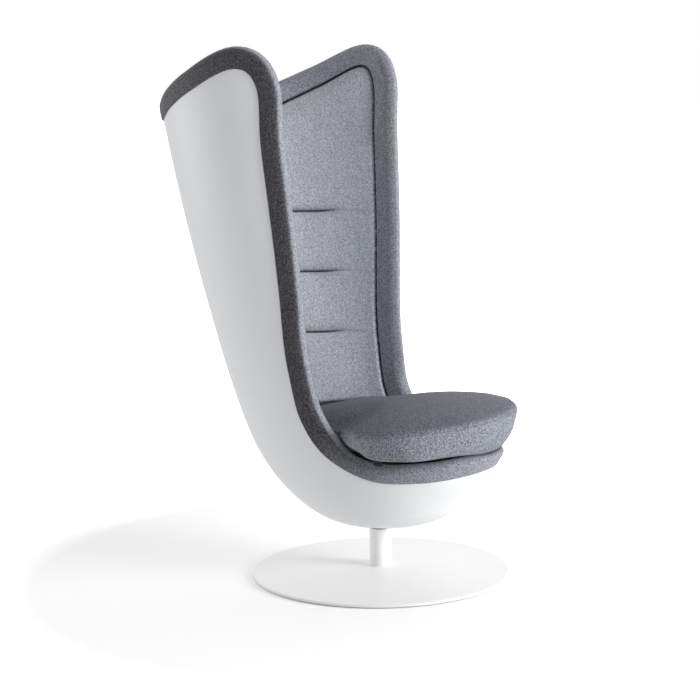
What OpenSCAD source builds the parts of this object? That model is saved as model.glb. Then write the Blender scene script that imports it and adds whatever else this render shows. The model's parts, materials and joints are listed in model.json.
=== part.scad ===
// Pod chair: a moulded shell with a padded rim and back, on a swivel column and a round plate.
// The front of the chair faces -Y, and the origin is on the floor under the column.

/* [Base] */
// Diameter of the round base plate
base_d = 700; // [600:10:800]
// Thickness of the base plate at its edge
base_t = 8; // [6:1:12]
// Rise of the base plate's upper face from its edge to the column
base_rise = 14; // [10:1:20]
// Thickness of the felt mat under the base plate
mat_t = 2; // [1:0.5:4]
// Distance from the edge of the felt mat to the edge of the base plate
mat_inset = 6; // [3:1:20]

/* [Column] */
// Outside diameter of the column tube
column_d = 60; // [54:1:70]
// Wall of the column tube
column_wall = 4; // [3:0.5:5]
// Gap between the top of the column and the underside of the pod
column_gap = 6; // [5:0.5:12]
// Height of the plug welded into the foot of the column
plug_h = 22; // [18:1:26]
// Diameter of the circle of the base screws
base_screw_circle = 34; // [32:1:38]
// Thread diameter of the base screws
base_screw_d = 6; // [5:0.5:7]

/* [Swivel] */
// Diameter of the spindle where the bushes hold it
spindle_d = 30; // [26:1:32]
// Radial running clearance of the spindle in its bushes
running_clear = 0.05; // [0.03:0.01:0.1]
// Diameter of the shoulder that carries the pod
shoulder_d = 44; // [40:1:46]
// Height of each bush
bush_h = 18; // [14:1:20]
// Thickness of the upper bush's flange
flange_t = 2.5; // [2:0.5:3]
// Thickness of the thrust washer
thrust_t = 2; // [1.5:0.5:3]
// Thickness of the steel washers on the spindle
washer_t = 3; // [2:0.5:4]
// Height of the two spindle nuts
nut_h = 12; // [10:1:14]
// Diameter of the swivel plate
swivel_plate_d = 170; // [150:5:180]
// Thickness of the swivel plate
swivel_plate_t = 8; // [6:1:10]

/* [Pod] */
// Height of the lowest point of the pod above the floor
pod_z = 137; // [125:1:150]
// Height of the pod's top level above its lowest point
pod_h = 1283; // [1200:10:1350]
// Width of the pod at its top level
pod_w = 736; // [700:4:780]
// Reach of the pod's back from the column, at its top level
pod_back = 630; // [600:5:660]
// Wall of the moulded shell
shell_t = 6; // [5:0.5:7]
// Gap between the shell and the inner liner
liner_gap = 4; // [3:0.5:5]
// Wall of the inner liner
liner_t = 4; // [3:0.5:5]

/* [Padding] */
// How far the rim pad stands beyond the edge of the shell
rim_pad_reach = 56; // [50:1:60]
// Thickness of the rim pad, through the pod's wall
rim_pad_t = 48; // [44:1:52]
// How far the rim pad stands proud of the shell's outer face
rim_pad_proud = 5; // [2:0.5:7]
// How far the rim pad laps over the edge of the liner inside
rim_pad_lap = 5; // [4:0.5:8]
// Thickness of the back pad at its crown
back_pad_t = 31; // [26:1:32]
// Depth of the sewn tucks in the back pad
tuck_depth = 17; // [10:1:20]
// Height of the middle tuck above the floor
tuck_z = 785; // [770:5:810]
// Distance between the tucks
tuck_pitch = 171; // [160:1:190]
// How far the rim pad leans out at the lip
lip_lean = 14; // [8:1:18]
// Gap between padded pieces that lie side by side
pad_gap = 2; // [1.5:0.25:3]
// Width of the sewn seam between the back pad and the rim pad
pad_seam = 4; // [3:0.5:6]

/* [Seat] */
// Height of the seat deck's felt over the crest of the rim pad at the lip
deck_clear = 8; // [6:0.5:12]
// Thickness of the plywood seat deck
deck_t = 15; // [12:1:18]
// Thickness of the felt on the seat deck
deck_felt_t = 3; // [2:0.5:3.5]
// Height of the foot block's top above the pod's lowest point
foot_block_h = 42; // [40:1:48]
// Outside diameter of the seat pedestal
pedestal_d = 220; // [200:5:230]
// Wall of the seat pedestal
pedestal_wall = 18; // [15:1:21]
// Width of the seat cushion across its two wings
cushion_w = 632; // [600:4:640]
// Reach of the seat cushion in front of the column
cushion_front = 374; // [360:1:380]
// Reach of the seat cushion behind the column
cushion_back = 294; // [280:1:296]
// Thickness of the seat cushion at its front edge
cushion_t = 98; // [85:1:105]
// How much thinner the cushion is at its back edge
cushion_fall = 64; // [50:1:68]
// Height of the cushion's crown over its edges
cushion_crown = 38; // [20:1:42]
// Radius of the rounded lower edge of the cushion
cushion_foot_round = 8; // [6:1:12]
// Radius of the rounded upper edge of the cushion
cushion_edge_round = 22; // [14:1:26]
// Width of the bare fabric tag under the cushion
tag_w = 28; // [20:1:36]
// Length of the tag that hangs below the cushion
tag_drop = 15; // [12:1:18]

/* [Hidden] */
$fn = 96;

white_paint = "#f2f2f2";
steel = "#b9bdc2";
birch = "#d9b98a";
stained_birch = "#2e2b29";
felt_grey = "#8b8e94";
felt_dark = "#6f7278";

// One overrun and one seating gap serve every cut and every joint between pieces of one body
over = 1;
seat_gap = 0.3;

// Level sections of the pod's outer face, from its lowest point up. Each row holds the height as a share of
// pod_h, the half width as a share of pod_w / 2, then the centre, the half depth behind it and the half
// depth in front of it as shares of pod_back.
section_shares = [
    [0.000, 0.000,  0.000, 0.000, 0.000],
    [0.021, 0.380, -0.008, 0.238, 0.254],
    [0.079, 0.565,  0.016, 0.406, 0.432],
    [0.162, 0.666,  0.056, 0.505, 0.584],
    [0.283, 0.728,  0.167, 0.492, 0.571],
    [0.454, 0.804,  0.278, 0.479, 0.492],
    [0.649, 0.891,  0.335, 0.524, 0.521],
    [0.829, 0.957,  0.378, 0.559, 0.559],
    [1.000, 1.000,  0.416, 0.581, 0.584]];
section_signs = [1, -1, 1, -1, -1];
section_last = len(section_shares) - 1;

// Edge of the shell, from the middle of the lip round one side to the middle of the back. Each row holds the
// angle round from the front, the level as a count of sections, and the level where the rib that starts
// there crosses the middle of the pod, which is negative in front of the lowest point.
rim_shares = [
    [  0.0, 2.82, -2.82],
    [ 23.3, 2.76, -1.80],
    [ 46.3, 2.67, -0.30],
    [ 70.0, 2.71,  1.40],
    [ 86.5, 3.15,  2.80],
    [ 90.3, 3.78,  3.74],
    [ 86.1, 4.48,  4.48],
    [ 78.9, 5.25,  5.25],
    [ 76.4, 6.13,  6.08],
    [ 75.6, 6.91,  6.55],
    [ 74.2, 7.58,  6.77],
    [ 83.0, 7.79,  6.87],
    [106.9, 7.53,  6.98],
    [122.0, 7.36,  7.03],
    [139.0, 7.19,  7.05],
    [159.0, 7.13,  7.08],
    [180.0, 7.10,  7.10]];
rim_last = len(rim_shares) - 1;
rim_turn = 360;

// Meshes of the pod: ribs that start along each row of the rim, and strips across a rib
row_ribs = [3, 3, 3, 3, 3, 2, 2, 2, 2, 4, 4, 4, 3, 3, 3, 3];
shell_strips = 24;
small = 0.001;

// Faces of the layers, measured inward from the shell's outer face
liner_face = shell_t + liner_gap;
pad_face = liner_face + liner_t;
pad_front = pad_face + pad_gap + back_pad_t;
// Places along the rim's table, up from the lip, where the back pad and the liner begin
pad_row_share = 4.25;
liner_row_share = 4.5;

// Column and swivel, up from the floor. The spindle ends stand out of both nuts.
plate_z = mat_t;
plate_top_z = mat_t + base_t;
column_foot_z = plate_top_z + base_rise;
column_r = column_d / 2;
bore_r = column_r - column_wall;
column_top_z = pod_z - column_gap - flange_t;
spindle_end = 1;
foot_r = column_r + column_wall;
shoulder_z = column_top_z + flange_t + thrust_t;
block_top_z = pod_z + foot_block_h;
swivel_top_z = block_top_z + swivel_plate_t;
nut_width = spindle_d * 1.5;
lower_bush_z = column_foot_z + plug_h + nut_h + washer_t + column_wall;
upper_bush_z = column_top_z - bush_h;

// Smooth curve through four rows, at a fraction f of the way from the second to the third
function smooth(a, b, c, d, f) =
    (2 * b + (c - a) * f + (2 * a - 5 * b + 4 * c - d) * f * f + (3 * b - a - 3 * c + d) * f * f * f) / 2;

// Row of the level sections, carried on past both ends of the table
function section_row(i) =
    i < 0 ? [for (k = [0 : 4]) section_shares[-i][k] * section_signs[k]] :
    i > section_last ? 2 * section_shares[section_last] - section_shares[2 * section_last - i] :
    section_shares[i];
function section_at(level) = let (i = min(floor(level), section_last - 1))
    smooth(section_row(i - 1), section_row(i), section_row(i + 1), section_row(i + 2), level - i);
function level_height(level) = pod_z + section_at(level)[0] * pod_h;
function level_at(z, low = 0, high = section_last, steps = 22) = let (middle = (low + high) / 2)
    steps == 0 ? middle :
    level_height(middle) > z ? level_at(z, low, middle, steps - 1) : level_at(z, middle, high, steps - 1);

// The pod's outer face. A place p on it is a plan view whose radius counts the sections.
function pod_point(p) = let (s = section_at(norm(p)), a = atan2(p.x, -p.y), c = cos(a))
    [s[1] * sin(a) * pod_w / 2, (s[2] - (c > 0 ? s[4] : s[3]) * c) * pod_back, pod_z + s[0] * pod_h];
function pod_along_x(p) = (pod_point(p + [small, 0]) - pod_point(p - [small, 0])) / (2 * small);
function pod_along_y(p) = (pod_point(p + [0, small]) - pod_point(p - [0, small])) / (2 * small);
function pod_normal(p) = let (n = cross(pod_along_y(p), pod_along_x(p))) n / norm(n);
function pod_inside(p, depth) = pod_point(p) - depth * pod_normal(p);
// Move on the plan that shifts a place by the vector step on the pod's face
function plan_step(p, step) =
    let (ax = pod_along_x(p), ay = pod_along_y(p), f = ax * step, g = ay * step)
    let (xx = ax * ax, xy = ax * ay, yy = ay * ay, d = xx * yy - xy * xy)
    [(f * yy - g * xy) / d, (g * xx - f * xy) / d];

// Edge of the shell at rib t, its direction and the direction that leads out of the shell's face
function rim_row(i) =
    i < 0 ? [-rim_shares[-i][0], rim_shares[-i][1], rim_shares[-i][2]] :
    i > rim_last ? [rim_turn - rim_shares[2 * rim_last - i][0], rim_shares[2 * rim_last - i][1],
        rim_shares[2 * rim_last - i][2]] :
    rim_shares[i];
function rim_at(t) = let (i = floor(t))
    smooth(rim_row(i - 1), rim_row(i), rim_row(i + 1), rim_row(i + 2), t - i);
function rim_place(t) = let (r = rim_at(t)) r[1] * [sin(r[0]), -cos(r[0])];
function rim_along(t) =
    let (d = pod_point(rim_place(t + small)) - pod_point(rim_place(t - small))) d / norm(d);
function rim_out(t) = let (b = cross(pod_normal(rim_place(t)), rim_along(t))) b / norm(b);

// Place on rib t, from u = -1 at one edge to u = 1 at the other. The edges draw in by the length inset.
function rib_place(t, u, inset = 0) =
    let (q = inset == 0 ? rim_place(t) : rim_place(t) + plan_step(rim_place(t), -inset * rim_out(t)))
    let (k = rim_at(t)[2] * (1 - 1.5 * inset / pod_h), d = k - q.y)
    let (r = (q.x * q.x + d * d) / (2 * d), half = 2 * atan2(d, q.x))
    [r * sin(u * half), k - r * (1 - cos(u * half))];
function end_place(t, inset = 0) = [0, rim_at(t)[2] * (1 - 1.5 * inset / pod_h)];
// Rib of the upright edges that lies at height z
function rib_at(z, low = 4, high = 9, steps = 18) = let (middle = (low + high) / 2)
    steps == 0 ? middle :
    level_height(rim_at(middle)[1]) > z ? rib_at(z, low, middle, steps - 1) : rib_at(z, middle, high, steps - 1);

// Closed wall between two nets of points that both have the same rows and columns. The last row closes on
// a point of each net, and so does the first when both have a start point.
function quad(a, b, c, d) = [[a, b, c], [a, c, d]];
module wall_between(front, back, front_end, back_end, front_start = undef, back_start = undef) {
    rows = len(front);
    cols = len(front[0]);
    n = rows * cols;
    closed = !is_undef(front_start);
    points = concat([for (row = front) each row], [for (row = back) each row], [front_end, back_end],
        closed ? [front_start, back_start] : []);
    sheet = [for (i = [0 : rows - 2], j = [0 : cols - 2]) let (k = i * cols + j, l = k + cols) each
        2 * j < cols - 1 ?
            concat(quad(k, k + 1, l + 1, l), quad(n + k, n + l, n + l + 1, n + k + 1)) :
            concat(quad(k + 1, l + 1, l, k), quad(n + l, n + l + 1, n + k + 1, n + k))];
    top = (rows - 1) * cols;
    cap = [for (j = [0 : cols - 2]) each
        [[top + j, top + j + 1, 2 * n], [n + top + j + 1, n + top + j, 2 * n + 1]]];
    edges = [for (i = [0 : rows - 2]) each
        concat(quad(i * cols, (i + 1) * cols, n + (i + 1) * cols, n + i * cols),
            quad(i * cols + cols - 1, n + i * cols + cols - 1, n + (i + 1) * cols + cols - 1,
                (i + 1) * cols + cols - 1))];
    tips = concat(quad(top, 2 * n, 2 * n + 1, n + top),
        quad(top + cols - 1, n + top + cols - 1, 2 * n + 1, 2 * n));
    low = closed ?
        concat([for (j = [0 : cols - 2]) each
            [[j + 1, j, 2 * n + 2], [n + j, n + j + 1, 2 * n + 3]]],
            quad(2 * n + 2, 0, n, 2 * n + 3), quad(cols - 1, 2 * n + 2, 2 * n + 3, n + cols - 1)) :
        [for (j = [0 : cols - 2]) each quad(j, n + j, n + j + 1, j + 1)];
    polyhedron(points, concat(sheet, cap, edges, tips, low), convexity = 8);
}

// Columns across a rib, closer together near its edges
function columns(strips) = [for (j = [0 : strips]) let (x = 2 * j / strips - 1) (x + sin(90 * x)) / 2];
shell_columns = columns(shell_strips);
all_ribs = [for (i = [0 : rim_last - 1], k = [0 : row_ribs[i] - 1]) i + k / row_ribs[i]];
shell_ribs = [for (t = all_ribs) if (t > 0) t];

// Solid disc, or ring with an inner diameter, standing on height z
module ring(d, z, h, inner_d = 0) {
    translate([0, 0, z])
        difference() {
            cylinder(d = d, h = h);
            if (inner_d > 0)
                translate([0, 0, -over])
                    cylinder(d = inner_d, h = h + 2 * over);
        }
}

// Copies of a child at even steps round a circle
module around(count, circle_d, turn = 0) {
    for (i = [0 : count - 1])
        rotate([0, 0, turn + i * 360 / count])
            translate([circle_d / 2, 0, 0])
                children();
}

// Countersunk screw that points up, with its head's face at height zero, and the hole it leaves
module screw(d, length) {
    cylinder(d1 = 2 * d, d2 = d, h = d / 2);
    cylinder(d = d, h = length);
}
module screw_hole(d, length) {
    translate([0, 0, -over])
        cylinder(d = 2 * d + 2 * running_clear, h = over + running_clear);
    cylinder(d1 = 2 * d + 2 * running_clear, d2 = d + 2 * running_clear, h = d / 2);
    cylinder(d = d + 2 * running_clear, h = length);
}

hub_r = foot_r + column_wall * 2;
recess_r = base_d * 0.39;
edge_round = base_t / 4;
screw_length = base_t + base_rise + plug_h * 0.7;

module floor_mat() {
    color(felt_dark)
        ring(base_d - 2 * mat_inset, 0, mat_t);
}

module base_plate() {
    color(white_paint)
        difference() {
            rotate_extrude($fn = 180)
                polygon([[0, plate_z], [hub_r, plate_z], [hub_r, column_foot_z - base_t],
                    [recess_r, plate_z + base_rise * 0.22], [recess_r + base_t, plate_z],
                    [base_d / 2 - edge_round, plate_z], [base_d / 2, plate_z + edge_round],
                    [base_d / 2, plate_top_z - edge_round], [base_d / 2 - edge_round, plate_top_z],
                    [foot_r, column_foot_z - base_rise * foot_r / base_d],
                    [foot_r - column_wall / 2, column_foot_z], [0, column_foot_z]]);
            around(3, base_screw_circle)
                translate([0, 0, plate_z])
                    screw_hole(base_screw_d, screw_length);
        }
}

module base_screws() {
    color(steel)
        around(3, base_screw_circle)
            translate([0, 0, plate_z])
                screw(base_screw_d, screw_length);
}

module foot_plug() {
    color(steel)
        difference() {
            ring(2 * bore_r - 2 * running_clear, column_foot_z, plug_h);
            around(3, base_screw_circle)
                translate([0, 0, plate_z])
                    screw_hole(base_screw_d, screw_length + running_clear);
        }
}

module column_tube() {
    color(white_paint)
        ring(column_d, column_foot_z, column_top_z - column_foot_z, 2 * bore_r);
}

bush_d = 2 * bore_r - 2 * running_clear;
bush_bore_d = spindle_d + 2 * running_clear;

module lower_bush() {
    color("#303236")
        ring(bush_d, lower_bush_z, bush_h, bush_bore_d);
}

module upper_bush() {
    color("#303236")
        difference() {
            union() {
                cylinder_at(bush_d, upper_bush_z, bush_h);
                cylinder_at(column_d - column_wall, column_top_z, flange_t);
            }
            cylinder_at(bush_bore_d, upper_bush_z - over, bush_h + flange_t + 2 * over);
        }
}

module cylinder_at(d, z, h) {
    translate([0, 0, z])
        cylinder(d = d, h = h);
}

module thrust_washer() {
    color("#8a8f95")
        ring(shoulder_d + column_wall, column_top_z + flange_t, thrust_t, bush_bore_d);
}

nut_foot_z = lower_bush_z - washer_t - nut_h;
spindle_foot_z = nut_foot_z - spindle_end;
spindle_top_z = swivel_top_z + washer_t + nut_h + spindle_end;

module spindle() {
    color(steel) {
        cylinder_at(spindle_d, spindle_foot_z, spindle_top_z - spindle_foot_z);
        cylinder_at(shoulder_d, shoulder_z, block_top_z - shoulder_z);
    }
}

module retaining_washer() {
    color(steel)
        ring(nut_width, lower_bush_z - washer_t, washer_t, spindle_d + 2 * running_clear);
}

// Hex nut on the spindle
module nut(z) {
    difference() {
        translate([0, 0, z])
            cylinder(d = nut_width, h = nut_h, $fn = 6);
        cylinder_at(spindle_d + 2 * running_clear, z - over, nut_h + 2 * over);
    }
}

module retaining_nut() {
    color(steel)
        nut(nut_foot_z);
}

module top_washer() {
    color(steel)
        ring(shoulder_d * 1.3, swivel_top_z, washer_t, spindle_d + 2 * running_clear);
}

module spindle_nut() {
    color(steel)
        nut(swivel_top_z + washer_t);
}

shell_hole_d = shoulder_d + 2 * shell_t;

module pod_shell() {
    color(white_paint)
        difference() {
            wall_between(
                [for (t = shell_ribs) [for (u = shell_columns) pod_point(rib_place(t, u))]],
                [for (t = shell_ribs) [for (u = shell_columns) pod_inside(rib_place(t, u), shell_t)]],
                pod_point(end_place(rim_last)), pod_inside(end_place(rim_last), shell_t),
                pod_point(end_place(0)), pod_inside(end_place(0), shell_t));
            cylinder_at(shell_hole_d, pod_z - over, block_top_z - pod_z);
        }
}

module shell_grommet() {
    color("#303236")
        ring(shell_hole_d - 2 * running_clear, pod_z, shell_t, shoulder_d + 2 * running_clear);
}

block_rings = 5;
block_sides = 48;
block_bolt_circle = shoulder_d + swivel_plate_d / 2;
// Bed of adhesive between the shell and the block
bond_gap = 5;
block_screw_d = base_screw_d;

// Plywood pan whose underside follows the bowl
module foot_block() {
    under = [for (i = [1 : block_rings], j = [0 : block_sides - 1])
        pod_inside(i / block_rings * [sin(j * 360 / block_sides), -cos(j * 360 / block_sides)],
            shell_t + bond_gap)];
    rim = [for (j = [0 : block_sides - 1]) let (p = under[(block_rings - 1) * block_sides + j])
        [p.x, p.y, block_top_z]];
    middle = pod_inside([0, 0], shell_t + bond_gap);
    points = concat(under, rim, [middle, [0, 0, block_top_z]]);
    count = (block_rings + 1) * block_sides;
    faces = concat(
        [for (j = [0 : block_sides - 1]) [(j + 1) % block_sides, j, count]],
        [for (i = [0 : block_rings - 1], j = [0 : block_sides - 1]) let (k = (j + 1) % block_sides) each
            quad(i * block_sides + j, i * block_sides + k, (i + 1) * block_sides + k, (i + 1) * block_sides + j)],
        [for (j = [0 : block_sides - 1])
            [block_rings * block_sides + j, block_rings * block_sides + (j + 1) % block_sides, count + 1]]);
    color(birch)
        difference() {
            polyhedron(points, faces, convexity = 4);
            cylinder_at(shoulder_d + 2 * running_clear, pod_z, block_top_z - pod_z + over);
            around(4, block_bolt_circle, 45)
                translate([0, 0, swivel_top_z])
                    rotate([180, 0, 0])
                        screw_hole(block_screw_d, plate_screw_length + running_clear);
        }
}

plate_screw_length = swivel_plate_t + shell_t * 2;

module swivel_plate() {
    color(steel)
        difference() {
            ring(swivel_plate_d, block_top_z, swivel_plate_t, spindle_d + 2 * running_clear);
            around(4, block_bolt_circle, 45)
                translate([0, 0, swivel_top_z])
                    rotate([180, 0, 0])
                        screw_hole(block_screw_d, plate_screw_length);
        }
}

module plate_screws() {
    color(steel)
        around(4, block_bolt_circle, 45)
            translate([0, 0, swivel_top_z])
                rotate([180, 0, 0])
                    screw(block_screw_d, plate_screw_length);
}

// Over the lip the rim pad stands out less far, so that it stays below the cushion. Each row holds a place
// along the rim's table and the share of the pad's reach there.
reach_shares = [[0, 0.89], [1, 0.95], [2, 0.89], [3, 0.75], [3.6, 0.70], [4.2, 0.96], [4.6, 1]];
lean_rows = 3;
function reach_at(t) = rim_pad_reach * lookup(t, reach_shares);
function lean_at(t) = lip_lean * max(0, 1 - pow(t / lean_rows, 2));
deck_z = level_height(rim_shares[0][1]) + reach_at(0) + deck_clear;
deck_under_z = deck_z - deck_felt_t - deck_t;
deck_top_z = deck_z - deck_felt_t;
deck_screw_d = base_screw_d;
deck_screw_length = deck_t * 3;
deck_screw_turn = 30;
deck_margin = pad_front + rim_pad_lap;
deck_points = 72;
pedestal_mid_d = pedestal_d - pedestal_wall;

module seat_pedestal() {
    color(birch)
        difference() {
            ring(pedestal_d, block_top_z, deck_under_z - block_top_z, pedestal_d - 2 * pedestal_wall);
            deck_screw_holes();
        }
}

module deck_screw_holes() {
    around(6, pedestal_mid_d, deck_screw_turn)
        translate([0, 0, deck_top_z])
            rotate([180, 0, 0])
                screw_hole(deck_screw_d, deck_screw_length + running_clear);
}

// Outline of the deck: the level section of the pod, drawn in by the padding
module deck_outline() {
    s = section_at(level_at(deck_under_z));
    polygon([for (i = [0 : deck_points - 1]) let (a = i * 360 / deck_points, c = cos(a))
        [(s[1] * pod_w / 2 - deck_margin) * sin(a),
            s[2] * pod_back - ((c > 0 ? s[4] : s[3]) * pod_back - deck_margin) * c]]);
}

module seat_deck() {
    color(stained_birch)
        difference() {
            translate([0, 0, deck_under_z])
                linear_extrude(deck_t)
                    deck_outline();
            deck_screw_holes();
        }
}

module deck_screws() {
    color(steel)
        around(6, pedestal_mid_d, deck_screw_turn)
            translate([0, 0, deck_top_z])
                rotate([180, 0, 0])
                    screw(deck_screw_d, deck_screw_length);
}

module deck_felt() {
    color(felt_dark)
        translate([0, 0, deck_top_z])
            linear_extrude(deck_felt_t)
                deck_outline();
}

liner_ribs = [for (t = shell_ribs) if (t >= liner_row_share) t];

module inner_liner() {
    color("#d8dadd")
        wall_between(
            [for (t = liner_ribs) [for (u = shell_columns) pod_inside(rib_place(t, u), liner_face)]],
            [for (t = liner_ribs) [for (u = shell_columns) pod_inside(rib_place(t, u), pad_face)]],
            pod_inside(end_place(rim_last), liner_face), pod_inside(end_place(rim_last), pad_face));
}

// Buffers stand in the middle of cells of the net, each named by its lower rib and its column
buffer_ribs = [5.5, 7, 8.5];
buffer_columns = [4, 9, 14, 19];
buffer_d = 4 * liner_gap;
function cell_middle(t, j, depth) = let (corners = [for (a = [t, t + 0.5], b = [j, j + 1])
    pod_inside(rib_place(a, shell_columns[b]), depth)])
    (corners[0] + corners[1] + corners[2] + corners[3]) / 4;

module liner_buffers() {
    color("#303236")
        for (t = buffer_ribs, j = buffer_columns) {
            low = cell_middle(t, j, liner_face);
            n = cell_middle(t, j, shell_t) - low;
            translate(low + seat_gap * n / norm(n))
                rotate([0, acos(n.z / norm(n)), atan2(n.y, n.x)])
                    cylinder(d = buffer_d, h = norm(n) - 2 * seat_gap, $fn = 32);
        }
}

// Back pad: rows of ribs, set close round each tuck, and the depth of its face
pad_strips = 18;
tuck_half = tuck_pitch * 0.18;
tuck_offsets = [-1, -0.4, 0, 0.4, 1];
pad_columns = columns(pad_strips);
pad_ribs = concat(
    [pad_row_share, 4.8, 5.3],
    [for (i = [-1 : 1], f = tuck_offsets) rib_at(tuck_z + i * tuck_pitch + f * tuck_half)],
    [for (t = [9 : 0.5 : rim_last - 0.5]) t]);
pad_inset = rim_pad_lap + pad_seam;
function rounded(x) = let (c = max(0, min(1, x))) sqrt(1 - (1 - c) * (1 - c));
function tuck_fade(u) = let (c = max(0, min(1, (0.9 - abs(u)) / 0.3))) c * c * (3 - 2 * c);
function tuck_at(z, u) = let (near = min([for (i = [-1 : 1]) abs(z - tuck_z - i * tuck_pitch)]) / tuck_half)
    near > 1 ? 0 : tuck_depth * tuck_fade(u) * pow(1 - near, 2);
function pad_cover(t, u) =
    let (edge = min((1 - abs(u)) / 0.12, (rim_last - t) / 0.8, (t - pad_row_share) / 0.6 + 0.3))
    let (z = pod_point(rib_place(t, u, pad_inset)).z)
    back_pad_t * (0.55 + 0.45 * rounded(edge)) - tuck_at(z, u);

module back_pad() {
    color(felt_grey)
        wall_between(
            [for (t = pad_ribs) [for (u = pad_columns) pod_inside(rib_place(t, u, pad_inset), pad_face + pad_gap)]],
            [for (t = pad_ribs) [for (u = pad_columns)
                pod_inside(rib_place(t, u, pad_inset), pad_face + pad_gap + pad_cover(t, u))]],
            pod_inside(end_place(rim_last, pad_inset), pad_face + pad_gap),
            pod_inside(end_place(rim_last, pad_inset), pad_face + pad_gap + back_pad_t * 0.55));
}

// Rim pad: its section across the edge of the shell, in lengths out of the edge and out of the face
nose_steps = 5;
nose_reach = rim_pad_reach * 0.4;
rim_inner = rim_pad_proud - rim_pad_t;
// It hugs the shell's edge, and stands off further round the top corner, where its facets turn most
snug_gap = seat_gap * 1.6;
corner_row = 10.5;
corner_rows = 7;
function slack_at(t) = snug_gap + 2.5 * pad_gap * max(0, 1 - abs(t - corner_row) / corner_rows);
function rim_section(reach, slack) = concat(
    [[-rim_pad_lap, -pad_face - slack], [slack, -pad_face - slack], [slack * 1.5, rim_pad_proud * 0.5],
        [rim_pad_proud, rim_pad_proud]],
    [for (i = [0 : nose_steps]) let (a = 90 - i * 180 / nose_steps)
        [reach - nose_reach + nose_reach * cos(a), rim_pad_proud - rim_pad_t / 2 * (1 - sin(a))]],
    [[rim_pad_lap * 2, rim_inner], [0, rim_inner + rim_pad_t * 0.04],
        [-rim_pad_lap, rim_inner + rim_pad_t * 0.2]]);

function rim_ring(t, side) = let (p = rim_place(t), o = pod_point(p), b = rim_out(t), n = pod_normal(p))
    [for (q = rim_section(reach_at(t), slack_at(t)))
        let (lean = lean_at(t) * pow(max(0, q.x) / reach_at(t), 2), r = o + q.x * b + (q.y + lean) * n)
        [side * r.x, r.y, r.z]];

module rim_pad() {
    rings = concat([for (t = concat(all_ribs, [rim_last])) rim_ring(t, 1)],
        [for (i = [1 : len(shell_ribs)]) rim_ring(shell_ribs[len(shell_ribs) - i], -1)]);
    m = len(rim_section(rim_pad_reach, pad_gap));
    count = len(rings);
    faces = [for (i = [0 : count - 1], j = [0 : m - 1])
        let (a = i * m + j, b = i * m + (j + 1) % m, c = (i + 1) % count * m) each
        2 * i < count ? quad(a, b, c + (j + 1) % m, c + j) : quad(b, c + (j + 1) % m, c + j, a)];
    color(felt_dark)
        polyhedron([for (r = rings) each r], faces, convexity = 8);
}

// Seat cushion: half of its plan from front to back. Each row holds the foot's x and y, the top edge's x and
// y, and the shares of the height where the side leaves the foot and reaches the top edge's place, so that
// the cushion spreads over the rim pad without touching it. The x of the wings follows the cushion's width,
// and behind them it follows the pod's width.
cushion_plan_shares = [
    [0.000, -0.936, 0.000, -1.000, 0.00, 0.80], [0.310, -0.896, 0.354, -0.968, 0.00, 0.80],
    [0.570, -0.775, 0.665, -0.840, 0.00, 0.80], [0.810, -0.655, 0.888, -0.668, 0.00, 0.80],
    [0.895, -0.500, 0.990, -0.480, 0.00, 0.80], [0.915, -0.390, 0.975, -0.310, 0.00, 0.80],
    [0.838, -0.275, 0.930, -0.215, 0.00, 0.65], [0.665, -0.170, 0.840, -0.147, 0.12, 0.30],
    [0.626, -0.100, 0.770, -0.072, 0.42, 0.52],
    [0.538, 0.017, 0.565, 0.041, 0.75, 0.85], [0.519, 0.306, 0.521, 0.310, 0.40, 0.80],
    [0.454, 0.697, 0.456, 0.700, 0.20, 0.80], [0.283, 0.939, 0.283, 0.942, 0.10, 0.80],
    [0.000, 1.000, 0.000, 1.000, 0.00, 0.80]];
cushion_plan_last = len(cushion_plan_shares) - 1;
wing_rows = 8;
plan_signs = [-1, 1, -1, 1, 1, 1];
cushion_z = deck_z + seat_gap;
cushion_middle = -cushion_front * 0.16;

function cushion_x(i) = i > wing_rows ? pod_w / 2 : cushion_w / 2;
function cushion_y(y) = y < 0 ? y * cushion_front : y * cushion_back;
function plan_row(i) = let (k = abs(i > cushion_plan_last ? 2 * cushion_plan_last - i : i),
    r = cushion_plan_shares[k], side = i < 0 || i > cushion_plan_last ? -1 : 1)
    [side * r[0] * cushion_x(k), cushion_y(r[1]), side * r[2] * cushion_x(k), cushion_y(r[3]), r[4], r[5]];
function plan_at(s) = let (i = floor(s))
    smooth(plan_row(i - 1), plan_row(i), plan_row(i + 1), plan_row(i + 2), s - i);
cushion_plan = concat([for (i = [0 : 3 * cushion_plan_last]) plan_at(i / 3)],
    [for (i = [1 : 3 * cushion_plan_last - 1]) let (p = plan_at(cushion_plan_last - i / 3))
        [for (k = [0 : 5]) p[k] * plan_signs[k]]]);
function cushion_height(y) = cushion_t - cushion_fall * (y + cushion_front) / (cushion_front + cushion_back);
// Point of the side of the cushion at a share of its height, drawn in by a length
function cushion_side(row, share, inset) =
    let (along = max(0, min(1, (share - row[4]) / (row[5] - row[4]))), e = 1 - pow(1 - along, 1.6))
    let (q = [row[0] + (row[2] - row[0]) * e, row[1] + (row[3] - row[1]) * e], d = [0, cushion_middle] - q)
    let (r = q + d * inset / norm(d))
    [r.x, r.y, cushion_z + share * cushion_height(r.y)];
// Rings of the side: the share of the height, then the parts of the foot's and the upper edge's rounding
side_shares = concat([[0, 1.6, 0], [0.02, 0.55, 0], [0.07, 0.1, 0], [0.16, 0, 0], [0.30, 0, 0], [0.45, 0, 0],
    [0.60, 0, 0], [0.74, 0, 0]], [for (a = [30 : 20 : 90]) [0.78 + 0.22 * sin(a), 0, 1 - cos(a)]]);
crown_shares = [0.86, 0.66, 0.42, 0.18];

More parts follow.
